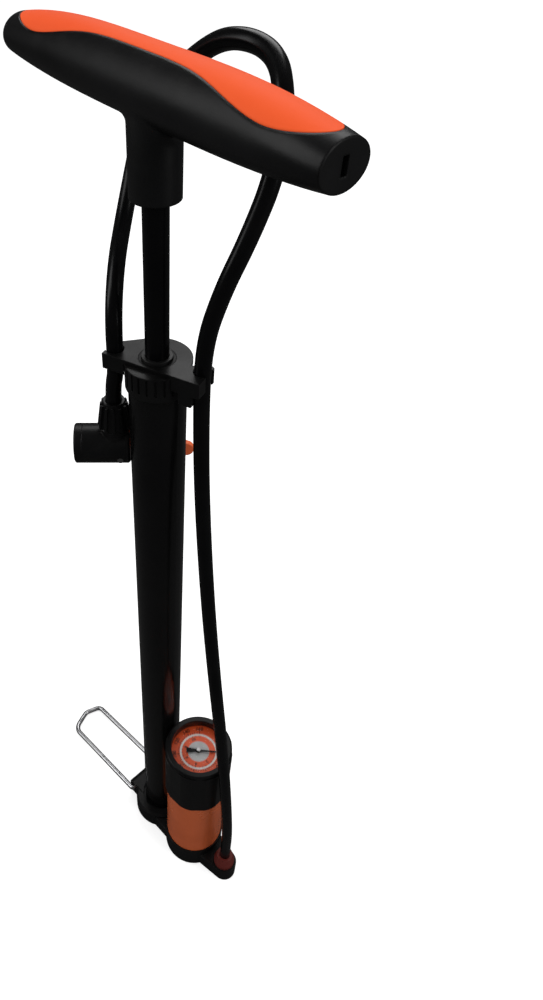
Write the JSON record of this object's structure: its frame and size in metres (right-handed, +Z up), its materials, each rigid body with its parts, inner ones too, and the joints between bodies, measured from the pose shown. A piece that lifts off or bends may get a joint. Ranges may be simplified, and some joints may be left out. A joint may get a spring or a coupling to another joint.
{
  "type": "floor bike pump",
  "caption": "Upright floor pump with a T handle, slim barrel, gauge tower with air tank, clipped hose with a lever head and a fold-up wire foot.",
  "frame": {"origin": "on the floor under the barrel's axis", "axes": "+Z up along the barrel, +X from the barrel to the gauge tower and hose outlet, wire foot on -X"},
  "size_m": [0.2577, 0.1042, 0.749],
  "materials": {
    "black_moulding": "injection moulded, satin, fine texture",
    "plated_steel": "zinc plated",
    "pad_rubber": "matt rubber",
    "black_enamel": "gloss black enamel",
    "rod_enamel": "gloss black, lightly oiled",
    "seal_rubber": "oiled seal rubber",
    "bush_nylon": "glass filled nylon",
    "orange_tank": "gloss terracotta orange",
    "brass": "machined brass",
    "spring_steel": "spring wire",
    "clear_lens": "clear acrylic",
    "dial_print": "printed dial",
    "needle_black": "matt black",
    "red_collar": "dark red plastic",
    "chrome_wire": "bright plated wire",
    "hose_rubber": "glossy smooth rubber",
    "head_plastic": "satin moulded plastic",
    "orange_lever": "moulded orange plastic",
    "grip_black": "satin moulded plastic",
    "orange_insert": "soft touch orange"
  },
  "bodies": {
    "pump_body": {"base": "black_moulding", "base_plate": "plated_steel", "base_screws": "plated_steel", "floor_pads": "pad_rubber", "barrel_tube": "black_enamel", "barrel_gasket": "seal_rubber", "barrel_cap": "black_moulding", "clip_plate": "black_moulding", "rod_bush": "bush_nylon", "rod_wiper": "seal_rubber", "bump_stop": "seal_rubber", "tank_tube": "orange_tank", "tank_lower_seal": "seal_rubber", "tank_upper_seal": "seal_rubber", "valve_seat": "brass", "valve_spring": "spring_steel", "valve_retainer": "brass", "gauge_head": "black_moulding", "bezel_ring": "black_moulding", "gauge_lens": "clear_lens", "gauge_dial": "dial_print", "gauge_stem": "brass", "bourdon_tube": "brass", "movement_plates": "brass", "hose_barb": "brass", "hose_collar": "red_collar", "hose": "hose_rubber", "head_body": "head_plastic", "mouth_ring": "head_plastic", "valve_grommet": "seal_rubber", "spindle_bush": "bush_nylon", "head_barb": "brass", "head_nut": "head_plastic"},
    "piston": {"piston_body": "bush_nylon", "piston_cup": "seal_rubber", "piston_washer": "plated_steel"},
    "handle": {"rod_tube": "rod_enamel", "rod_stud": "plated_steel", "piston_nut": "plated_steel", "handle_grip": "grip_black", "handle_insert": "orange_insert", "rod_plug": "plated_steel", "handle_bolt": "plated_steel"},
    "wire_foot": {"foot_wire": "chrome_wire"},
    "lever": {"cam_spindle": "plated_steel", "head_lever": "orange_lever", "lever_screw": "plated_steel"},
    "plunger": {"head_plunger": "bush_nylon"},
    "sector": {"sector_gear": "brass"},
    "pointer": {"needle_pinion": "brass", "needle": "needle_black", "needle_cap": "plated_steel"},
    "check_ball": {"valve_ball": "plated_steel"}
  },
  "joints": [
    {"name": "rod_slide", "type": "slide", "parent": "pump_body", "child": "piston", "axis": [0, 0, 1], "range_m": [-0.055, 0.4]},
    {"name": "handle_turn", "type": "hinge", "parent": "piston", "child": "handle", "pos_m": [0, 0, 0.7], "axis": [0, 0, -1], "range_deg": [0, 12]},
    {"name": "foot_fold", "type": "hinge", "parent": "pump_body", "child": "wire_foot", "pos_m": [-0.026, 0, 0.018], "axis": [0, 1, 0], "range_deg": [0, 95]},
    {"name": "lever_swing", "type": "hinge", "parent": "pump_body", "child": "lever", "pos_m": [-0.02529, -0.01007, 0.5125], "axis": [0.742, -0.6704, 0], "range_deg": [0, 90]},
    {"name": "plunger_push", "type": "slide", "parent": "pump_body", "child": "plunger", "axis": [-0.6704, -0.742, 0], "range_m": [0, 0.0018]},
    {"name": "sector_turn", "type": "hinge", "parent": "pump_body", "child": "sector", "pos_m": [0.05775, 0.01169, 0.181], "axis": [0, 0, 1], "range_deg": [0, 45]},
    {"name": "needle_turn", "type": "hinge", "parent": "pump_body", "child": "pointer", "pos_m": [0.051, 0, 0.19], "axis": [0, 0, 1], "range_deg": [-270, 0]},
    {"name": "ball_lift", "type": "slide", "parent": "pump_body", "child": "check_ball", "axis": [0, 0, 1], "range_m": [0, 0.0015], "stiffness_N_per_m": 100, "springref_m": -0.001, "deforming": ["valve_spring"]}
  ],
  "couplings": [
    {"joint": "plunger_push", "follows": "lever_swing", "m_per_rad": 0.00108},
    {"joint": "needle_turn", "follows": "sector_turn", "ratio": -6}
  ]
}
